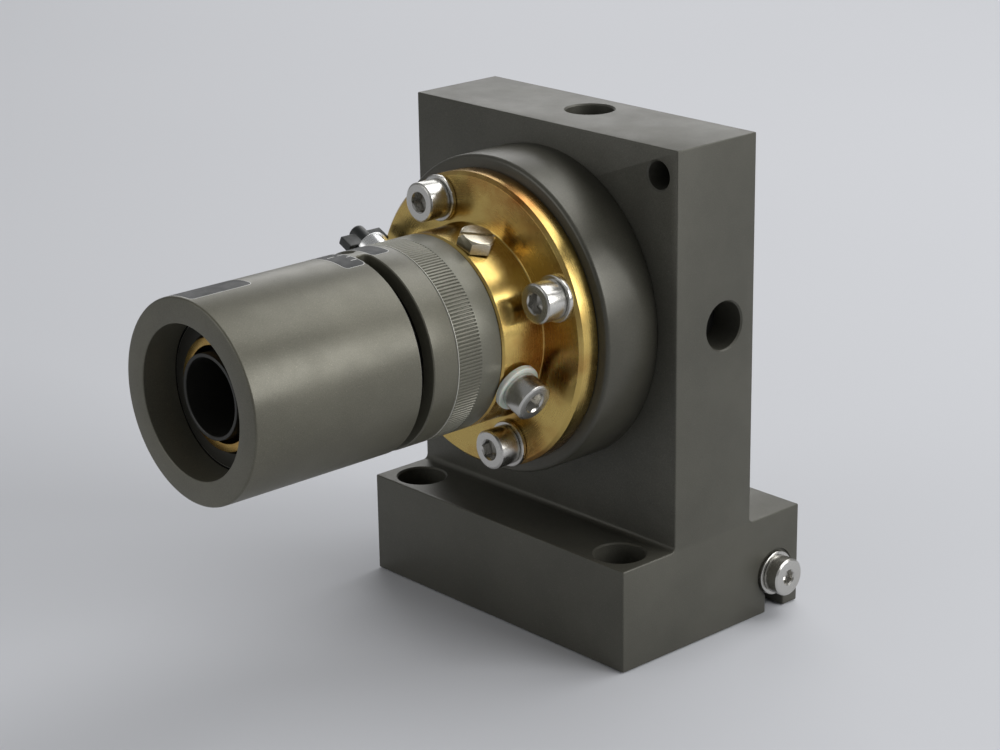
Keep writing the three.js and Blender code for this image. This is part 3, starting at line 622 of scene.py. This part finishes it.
def socket_screw(name, height=M5_HEIGHT, length=10 * mm, hex_size=4 * mm, hex_depth=2.6 * mm):
    """Socket head cap screw; its head stands on z = 0 and its socket has a drilled, coned bottom."""
    build = lathe(name, [
        (0, -length), (M5_SHANK, -length, 0.4 * mm), (M5_SHANK, 0), (M5_HEAD, 0, 0.12 * mm),
        (M5_HEAD, height - 0.28 * mm, 0.1 * mm), (M5_HEAD - 0.42 * mm, height, 0.14 * mm), (0, height),
    ], 96)
    socket = prism("socket", hexagon(hex_size), height - hex_depth, height + mm)
    cone_low, cone_high = height - 0.34 * mm, height + 0.16 * mm
    lead_in = lathe("lead_in", [
        (0, cone_low), (hex_size / 2, cone_low), (hex_size / 2 + 0.5 * mm, cone_high), (0, cone_high),
    ], 96)
    drill_radius = hex_size * 0.46
    drill = lathe("drill", [
        (0, height - hex_depth - 0.9 * mm), (drill_radius, height - hex_depth + 0.05 * mm),
        (drill_radius, height), (0, height),
    ], 48)
    cut(build, socket, lead_in, drill)
    return smooth(build)


def washer(name, outer, inner, height, fillet=0.25 * mm):
    return lathe(name, [
        (inner, 0, 0.1 * mm), (outer, 0, 0.1 * mm), (outer, height, fillet), (inner, height, 0.1 * mm),
    ], 96)


FORWARD = Vector((0, -1, 0))
RIGHT = Vector((1, 0, 0))
for number, spin in enumerate((0.35, 0.1, 0.6, 0.85), 1):
    screw_node, washer_node = f"flange_screw_{number}", f"flange_washer_{number}"
    centre = middle(washer_node)
    seat = Vector((centre.x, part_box(washer_node)[1].y, centre.z))
    plain_washer = washer(washer_node + "_fine", WASHER_RADIUS, WASHER_BORE, WASHER_HEIGHT)
    point_along(plain_washer, seat, FORWARD, reference=RIGHT)
    finish_piece(plain_washer, STEEL, "steel", "housing", washer_node)
    head_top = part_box(screw_node)[0].y
    screw = socket_screw(screw_node + "_fine")
    point_along(screw, Vector((centre.x, head_top + M5_HEIGHT, centre.z)), FORWARD, spin, RIGHT)
    finish_piece(screw, STEEL, "steel", "housing", screw_node)

friction_away, friction_station = radial_axis("friction_washer")
low, high = reach("friction_washer", friction_away, AXIS_POINT)
soft_washer = washer("friction_washer_fine", 5.2 * mm, WASHER_BORE, high - low, 0.3 * mm)
point_along(soft_washer, friction_station + friction_away * low, friction_away)
finish_piece(soft_washer, NYLON, "white_plastic", "housing", "friction_washer")
low, high = reach("friction_screw", friction_away, AXIS_POINT)
friction_screw = socket_screw("friction_screw_fine", length=high - low - M5_HEIGHT)
point_along(friction_screw, friction_station + friction_away * (high - M5_HEIGHT), friction_away, 0.3)
finish_piece(friction_screw, STEEL, "steel", "housing", "friction_screw")


M4_ACROSS, M4_HEIGHT, M4_SHANK = 7 * mm, 2.8 * mm, 1.95 * mm


def slotted_hex_screw(name, across, height, shank, length):
    """Hexagon head screw with a crowned top and a screwdriver slot along its X axis."""
    corner = across / math.sqrt(3)
    half_slot, slot_depth = 0.45 * mm, 0.95 * mm
    build = prism(name, hexagon(across), 0, height)
    crown = lathe("crown", [
        (0, -mm), (corner + 0.2 * mm, -mm), (corner + 0.2 * mm, height * 0.80), (corner, height * 0.84),
        (across / 2 - 0.15 * mm, height, 0.3 * mm), (0, height),
    ], 96)
    boolean(build, crown, "INTERSECT")
    stem = bar("stem", shank, -length, 0.2 * mm)
    boolean(build, stem, "UNION")
    cut(build, prism("slot", rectangle(across, half_slot), height - slot_depth, height + mm))
    return bevelled(build, 0.09 * mm, 2, 25)


hex_away, hex_station = radial_axis("hub_hex_screw")
low, high = reach("hub_hex_screw", hex_away, AXIS_POINT)
hex_screw = slotted_hex_screw("hub_hex_screw_fine", M4_ACROSS, M4_HEIGHT, M4_SHANK, high - low - M4_HEIGHT)
# The slot runs nearly along the optical axis, turned a little towards the right of the block.
point_along(hex_screw, hex_station + hex_away * (high - M4_HEIGHT), hex_away, math.radians(-27))
finish_piece(hex_screw, NICKEL, "nickel_screw", "housing", "hub_hex_screw")


def thumb_screw(low, high):
    collar_foot, collar_top, collar_radius = 25 * mm, 29.1 * mm, 3.8 * mm
    peg_radius = 0.85 * mm
    return lathe("thumb_screw_fine", [
        (0, low), (M4_SHANK, low, 0.3 * mm), (M4_SHANK, collar_foot), (collar_radius, collar_foot, 0.5 * mm),
        (collar_radius, collar_top, 0.5 * mm), (peg_radius, collar_top), (peg_radius, high), (0, high),
    ], 96)


low, high = reach("thumb_screw", thumb_away, AXIS_POINT)
finish_piece(point_along(thumb_screw(low, high), thumb_station, thumb_away), ALUMINIUM, "bright_aluminium",
             "thumb", "thumb_screw")


def wing_knob(height):
    """Moulded knob: a round hub with a domed end and two flat wings along its X axis."""
    wing_tip, wing_half, wing_height, hub_radius = 5.43 * mm, 0.98 * mm, 3.68 * mm, 1.9 * mm
    build = prism("thumb_knob_fine", rectangle(wing_tip, wing_half), 0, wing_height)
    bevelled(build, 0.3 * mm, 4, 50)
    hub = lathe("hub", [(0, 0), (hub_radius, 0), (hub_radius, height, 0.7 * mm), (0, height)], 64)
    boolean(build, hub, "UNION")
    return smooth(build, 40)


low, high = reach("thumb_knob", thumb_away, AXIS_POINT)
finish_piece(point_along(wing_knob(high - low), thumb_station + thumb_away * low, thumb_away), KNOB,
             "black_plastic", "thumb", "thumb_knob")

clamp_centre = middle("clamp_washer")
clamp_low, clamp_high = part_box("clamp_washer")
side_washer = washer("clamp_washer_fine", WASHER_RADIUS, WASHER_BORE, clamp_high.x - clamp_low.x)
point_along(side_washer, Vector((clamp_low.x, clamp_centre.y, clamp_centre.z)), RIGHT)
finish_piece(side_washer, STEEL, "steel", "housing", "clamp_washer")
_, screw_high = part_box("clamp_screw")
side_screw = socket_screw("clamp_screw_fine", LOW_HEAD_HEIGHT, 12 * mm, 3 * mm, 1.8 * mm)
head_seat = Vector((screw_high.x - LOW_HEAD_HEIGHT, clamp_centre.y, clamp_centre.z))
point_along(side_screw, head_seat, RIGHT, 0.4)
finish_piece(side_screw, STEEL, "steel", "housing", "clamp_screw")


def set_screw(name, length):
    radius = 4.9 * mm
    build = lathe(name, [
        (0, 0), (radius, 0, 0.5 * mm), (radius, length, 0.7 * mm), (0, length),
    ], 96)
    cut(build, prism("socket", hexagon(5 * mm), length * 0.45, length + mm))
    return smooth(build)


for node, away in (("adapter_set_screw_top", Vector((0, 0, 1))), ("adapter_set_screw_side", RIGHT)):
    low, high = reach(node, away, AXIS_POINT)
    station = Vector((0, middle(node).y, AXIS_HEIGHT))
    piece = point_along(set_screw(node + "_fine", high - low), station + away * low, away, 0.2)
    finish_piece(piece, INNER, "inner_black", "housing", node)

# ------------------------------------------------------------------ focus ring

KNURL_TEETH = 172
KNURL_LENGTH = 6.2 * mm
KNURL_DEPTH = 0.28 * mm


def focus_ring():
    """Ring whose outside is one grid: plain rear band, knurl with rounded groove ends, front chamfer. A
    station is (place along the axis, step of the outside, share of the groove's depth)."""
    knurl_front = ring_front - 0.2 * mm
    knurl_rear = knurl_front - KNURL_LENGTH + 0.1 * mm
    across_tooth = [0.0, 0.13, 0.22, 0.32, 0.42, 0.78]
    groove = [1.0, 0.96, 0.6, 0.1, 0.0, 0.1]
    run_out = [0.0, 0.05, 0.12, 0.22, 0.36]
    stations = [(ring_front, -0.12 * mm, 0), (ring_front - 0.03 * mm, -0.05 * mm, 0),
                (ring_front - 0.08 * mm, -0.01 * mm, 0), (ring_front - 0.12 * mm, 0, 0)]
    ramp = [(s * mm, math.sin(s / run_out[-1] * math.pi / 2)) for s in run_out]
    stations += [(knurl_front - along, 0, weight) for along, weight in ramp]
    stations += [(knurl_rear + along, 0, weight) for along, weight in reversed(ramp)]
    stations += [(knurl_rear - 0.1 * mm, 0, 0), (ring_rear + 0.4 * mm, 0, 0),
                 (ring_rear + 0.1 * mm, -0.08 * mm, 0), (ring_rear, -0.3 * mm, 0)]
    inner = [(ring_rear, SOCKET_RADIUS), (ring_front, SOCKET_RADIUS)]
    points, faces = [], []
    columns = KNURL_TEETH * len(across_tooth)
    for tooth in range(KNURL_TEETH):
        for share, depth in zip(across_tooth, groove):
            turn = 2 * math.pi * (tooth + share) / KNURL_TEETH
            cosine, sine = math.cos(turn), math.sin(turn)
            for z, inset, weight in stations:
                radius = ring_radius + inset - KNURL_DEPTH * depth * weight
                points.append((radius * cosine, radius * sine, z))
            points += [(radius * cosine, radius * sine, z) for z, radius in inner]
    size = len(stations) + len(inner)
    for i in range(columns):
        here, there = i * size, ((i + 1) % columns) * size
        for k in range(size):
            following = (k + 1) % size
            faces.append((here + k, there + k, there + following, here + following))
    return smooth(outward(from_faces("focus_ring_fine", points, faces)), 38)


finish_piece(on_optical_axis(focus_ring()), RING, "ring_anodise", "focus_ring", "focus_ring")

# ------------------------------------------------------------------ front barrel

core_front, core_rear, core_radius = turned_span("core_tube")
guide_front, guide_rear, guide_radius = turned_span("front_guide_ring")
RECESS_RADIUS = 15.7 * mm
BRIDGE_ANGLE = math.radians(91.5)
BRIDGE_SWEEP = math.radians(7)
CORNER_STEPS = 8
ROUND_END = 0.01 * mm         # kept off a strip's half width, so that its corners never meet


def curved_strip(name, start, end, low, high, inner, outer, corner=0.0, steps=120, narrowing=0.0):
    """Thick strip bent round Z between two angles and two stations, with rounded corners. Its inner face
    is set in from the outer one by the narrowing all round."""
    flat = []
    corners = ((start, low, math.pi), (end, low, 1.5 * math.pi), (end, high, 0), (start, high, 0.5 * math.pi))
    for x, z, begin in corners:
        side_x = 1 if x == start else -1
        side_z = 1 if z == low else -1
        for k in range(CORNER_STEPS + 1):
            turn = begin + math.pi / 2 * k / CORNER_STEPS
            flat.append((x + side_x * corner / outer + corner / outer * math.cos(turn),
                         z + side_z * corner + corner * math.sin(turn)))
    build = bmesh.new()
    build.faces.new([build.verts.new((x * outer, z, 0)) for x, z in flat])
    width = (end - start) * outer
    for i in range(1, steps):
        cut_x = start * outer + width * i / steps
        geometry = build.verts[:] + build.edges[:] + build.faces[:]
        bmesh.ops.bisect_plane(build, geom=geometry, plane_co=(cut_x, 0, 0), plane_no=(1, 0, 0))
    geometry = bmesh.ops.extrude_face_region(build, geom=build.faces[:])["geom"]
    for vertex in (v for v in geometry if isinstance(v, bmesh.types.BMVert)):
        vertex.co.z = 1
    middle_line = (low + high) / 2
    for vertex in build.verts:
        along, station = vertex.co.x, vertex.co.y
        outside = vertex.co.z > 0.5
        if not outside and narrowing:
            nearest = min(max(along, start * outer + corner), end * outer - corner)
            share = 1 - narrowing / ((high - low) / 2)
            along = nearest + (along - nearest) * share
            station = middle_line + (station - middle_line) * share
        turn, radius = along / outer, outer if outside else inner
        vertex.co = Vector((radius * math.cos(turn), radius * math.sin(turn), station))
    bmesh.ops.recalc_face_normals(build, faces=build.faces)
    mesh = bpy.data.meshes.new(name)
    build.to_mesh(mesh)
    build.free()
    return mesh_object(name, mesh)


def slot_cutter(half_turn, chamfer=0.0):
    """Cutter for one of the two slots, or for the chamfer round its mouth."""
    clear = 0.3 * mm
    widen = chamfer + clear if chamfer else 0
    half = SLOT_WIDTH / 2 + widen
    radius = barrel_radius + clear
    turn = widen / radius
    inner = barrel_radius - chamfer if chamfer else SOCKET_RADIUS - mm
    end = BRIDGE_ANGLE - BRIDGE_SWEEP / 2 - half_turn * math.pi
    start = end - math.pi + BRIDGE_SWEEP
    return curved_strip("slot", start - turn, end + turn, SLOT_REAR - widen, slot_front + widen,
                        inner, radius, half - ROUND_END, 180, widen)


def front_barrel():
    build = lathe("front_barrel_fine", [
        (RECESS_RADIUS, barrel_front, 0.25 * mm), (barrel_radius, barrel_front, 0.45 * mm),
        (barrel_radius, barrel_rear, 0.06 * mm), (SOCKET_RADIUS, barrel_rear), (SOCKET_RADIUS, guide_front),
        (RECESS_RADIUS, guide_front),
    ], 288)
    for half_turn in (0, 1):
        cut(build, slot_cutter(half_turn), slot_cutter(half_turn, SLOT_CHAMFER))
    return smooth(build, 36)


finish_piece(on_optical_axis(front_barrel()), BARREL, "barrel_anodise", "housing", "front_barrel")

core_bore = core_radius - 1.7 * mm
core = lathe("core_tube_fine", [
    (core_bore, core_front), (core_radius, core_front), (core_radius, core_rear), (core_bore, core_rear),
], 192)
pin_away, pin_station = radial_axis("drive_pin")
pin_angle = math.atan2(pin_away.z, pin_away.x)
PIN_CLEARANCE = 1.75 * mm
PIN_TRAVEL = math.radians(60.5)
clear_turn = PIN_CLEARANCE / core_radius
pin_slot = curved_strip("pin_slot", pin_angle - PIN_TRAVEL - clear_turn, pin_angle + PIN_TRAVEL + clear_turn,
                        -pin_station.y - PIN_CLEARANCE, -pin_station.y + PIN_CLEARANCE, core_radius - 3 * mm,
                        core_radius + mm, PIN_CLEARANCE - ROUND_END)
core_hole = bar("hole", THUMB_HOLE_RADIUS, core_radius - 3 * mm, core_radius + mm)
core_hole.data.transform(towards(Vector((0, 0, -thumb_station.y)), local_direction(thumb_away)))
cut(core, pin_slot, core_hole)
finish_piece(on_optical_axis(smooth(core)), INNER, "inner_black", "housing", "core_tube")

# Dark printed fields with a light outline and generic numerals, laid a hair's breadth over the barrel.
INK = 0.012 * mm
OUTLINE = 0.13 * mm


def printed(name, start, end, low, high, layer, material, corner=1.1 * mm, steps=60):
    """Patch on the barrel between two angles in degrees and two stations; a higher layer lies on top."""
    strip = curved_strip(name, math.radians(start), math.radians(end), low, high, barrel_radius - 0.15 * mm,
                         barrel_radius + layer * INK, corner, steps)
    finish_piece(on_optical_axis(smooth(strip)), material, None, "housing")


def outlined_field(name, start, end, low, high):
    rim = math.degrees(OUTLINE / barrel_radius)
    printed(name + "_outline", start, end, low, high, 1, MARKING)
    printed(name, start + rim, end - rim, low + OUTLINE, high - OUTLINE, 2, FIELD, 1.0 * mm)


outlined_field("band_index_field", 82.8, 147, 56.4 * mm, SLOT_REAR - SLOT_CHAMFER)
outlined_field("barrel_index_field", 76.2, 147, slot_front + SLOT_CHAMFER, 70.1 * mm)
outlined_field("front_field", 86.5, 138.5, 90.1 * mm, 105.0 * mm)


def numeral(text, angle, station, size):
    """A raised numeral wrapped round the barrel, its top towards the focus ring."""
    curve = bpy.data.curves.new("numeral", "FONT")
    curve.body, curve.size, curve.extrude = text, size, 0.5
    curve.align_x, curve.align_y = "CENTER", "CENTER"
    flat = bpy.data.objects.new("numeral", curve)
    bpy.context.scene.collection.objects.link(flat)
    mesh = bpy.data.meshes.new_from_object(flat.evaluated_get(bpy.context.evaluated_depsgraph_get()))
    bpy.data.objects.remove(flat)
    for vertex in mesh.vertices:
        turn = math.radians(angle) + vertex.co.x / barrel_radius
        radius = barrel_radius + (3 * INK if vertex.co.z > 0 else -0.1 * mm)
        vertex.co = Vector((radius * math.cos(turn), radius * math.sin(turn), station - vertex.co.y))
    piece = outward(mesh_object(f"numeral_{text}_{angle}", mesh))
    finish_piece(on_optical_axis(piece), MARKING, None, "housing")


STROKES = 11
STROKE_START, STROKE_PITCH, STROKE_HALF = 84, 6, 0.3     # degrees
scale_base = slot_front + 0.5 * mm
for number in range(STROKES):
    angle = STROKE_START + number * STROKE_PITCH
    long_stroke = number % 2 == 0
    tip = scale_base + (1.5 if long_stroke else 0.9) * mm
    printed(f"scale_stroke_{number}", angle - STROKE_HALF, angle + STROKE_HALF, scale_base, tip, 3, MARKING,
            0.02 * mm, 2)
    if long_stroke and 0 < number < STROKES - 1:
        numeral(str(number // 2), angle, scale_base + 3.2 * mm, 2.6 * mm)

# ------------------------------------------------------------------ barrel mouth


def plain_tube(name, node, thickness, fillet, material, slot, body):
    front, rear, radius = turned_span(node)
    build = lathe(name, [
        (radius - thickness, front, fillet), (radius, front, fillet), (radius, rear),
        (radius - thickness, rear),
    ], 192)
    finish_piece(on_optical_axis(build), material, slot, body, node)


GUIDE_BORE = 11.9 * mm
guide = lathe("front_guide_ring_fine", [
    (GUIDE_BORE + GAP, guide_front, 0.2 * mm), (guide_radius, guide_front, 0.25 * mm),
    (guide_radius, guide_rear), (GUIDE_BORE, guide_rear), (GUIDE_BORE, guide_front - 0.5 * mm),
], 192)
finish_piece(on_optical_axis(guide), MOUTH, "inner_black", "housing", "front_guide_ring")
plain_tube("brass_guide_tube_fine", "brass_guide_tube", 1.7 * mm, 0.12 * mm, BRASS, "polished_brass",
           "sleeve")
sleeve_front, sleeve_rear, sleeve_collar = turned_span("fibre_sleeve")
SLEEVE_RADIUS, SLEEVE_BORE = 8.8 * mm, 7.9 * mm
collar_start = sleeve_rear + 4 * mm
sleeve = lathe("fibre_sleeve_fine", [
    (SLEEVE_BORE, sleeve_front, 0.3 * mm), (SLEEVE_RADIUS, sleeve_front, 0.15 * mm),
    (SLEEVE_RADIUS, collar_start), (sleeve_collar, collar_start), (sleeve_collar, sleeve_rear),
    (SLEEVE_BORE, sleeve_rear),
], 192)
finish_piece(on_optical_axis(sleeve), SLEEVE, "inner_black", "sleeve", "fibre_sleeve")

# ------------------------------------------------------------------ rear window

pane = lathe("exit_window_fine", [
    (0, window_front), (window_radius, window_front, 0.2 * mm), (window_radius, window_rear, 0.2 * mm),
    (0, window_rear),
], 192)
finish_piece(on_optical_axis(pane), GLASS, "lens_glass", "housing", "exit_window")
keeper = lathe("window_ring_fine", [
    (SHOULDER_BORE, window_ring_front, 0.1 * mm), (window_ring_radius, window_ring_front, 0.1 * mm),
    (window_ring_radius, window_ring_rear, 0.2 * mm), (SHOULDER_BORE, window_ring_rear, 0.3 * mm),
], 192)
notch = prism("notch", rectangle(25 * mm, mm), window_ring_rear - mm, window_ring_rear + mm)
cut(keeper, notch)
finish_piece(on_optical_axis(smooth(keeper)), INNER, "inner_black", "housing", "window_ring")

# ------------------------------------------------------------------ CAD pieces that stay

kept = [
    (INNER, ["sleeve_carrier", "lens_cell", "lens_spacer", "lens_retainer"]),
    (GLASS, ["front_lens", "rear_lens"]),
    (STEEL, ["preload_spring", "drive_pin"]),
    (RUBBER, ["flange_seal", "window_seal"]),
]
for material, names in kept:
    for name in names:
        nodes[name].material_slots[0].material = material

# ------------------------------------------------------------------ floor, light and camera


FLOOR_HALF = 3.0
FLOOR_DROP = 0.2 * mm         # keeps the floor just under the block's underside


def floor():
    build = bmesh.new()
    bmesh.ops.create_grid(build, x_segments=8, y_segments=8, size=FLOOR_HALF)
    mesh = bpy.data.meshes.new("floor")
    build.to_mesh(mesh)
    build.free()
    obj = mesh_object("floor", mesh)
    s = Shader("floor_paper", Roughness=0.75)
    s.link(s.mix(s.noise(3, 2), (0.58, 0.59, 0.62), (0.61, 0.62, 0.65)), s.shader.inputs["Base Color"])
    obj.data.materials.append(s.material)
    obj.location.z = block_low.z - FLOOR_DROP


floor()


def soft_light(name, place, target, size, power):
    light = bpy.data.lights.new(name, "AREA")
    light.shape = "RECTANGLE"
    light.size, light.size_y = size
    light.energy = power
    obj = bpy.data.objects.new(name, light)
    bpy.context.scene.collection.objects.link(obj)
    obj.location = place
    obj.rotation_euler = (Vector(target) - Vector(place)).to_track_quat("-Z", "Y").to_euler()


soft_light("top_back", (0.1, 0.65, 1.0), (0, 0, 0.06), (0.9, 0.7), 6.5)
soft_light("back_left", (-0.95, 0.85, 0.65), (0, 0, 0.06), (0.9, 0.7), 4.0)
soft_light("right", (1.0, 0.4, 0.5), (0, 0, 0.06), (0.7, 0.6), 8.0)
soft_light("front_left", (-0.35, -0.9, 0.35), (0, -0.06, 0.07), (0.6, 0.5), 1.6)

world = bpy.data.worlds.new("studio")
bpy.context.scene.world = world
world.use_nodes = True
world.node_tree.nodes["Background"].inputs["Color"].default_value = (0.80, 0.81, 0.82, 1)
world.node_tree.nodes["Background"].inputs["Strength"].default_value = 0.32


def camera():
    data = bpy.data.cameras.new("camera")
    data.lens = 90.4
    data.sensor_width = 36.0
    data.clip_start, data.clip_end = 0.01, 20.0
    obj = bpy.data.objects.new("camera", data)
    bpy.context.scene.collection.objects.link(obj)
    bpy.context.scene.camera = obj
    ahead = Vector((-0.7011, 0.6357, -0.3231)).normalized()
    level = ahead.cross(Vector((0, 0, 1))).normalized()
    roll = Matrix.Rotation(math.radians(0.95), 3, ahead)
    right = roll @ level
    up = right.cross(ahead)
    turn = Matrix((right, up, -ahead)).transposed().to_4x4()
    obj.matrix_world = Matrix.Translation(Vector((0.3788, -0.3683, 0.2307))) @ turn


camera()
bpy.context.scene.view_settings.view_transform = "Standard"
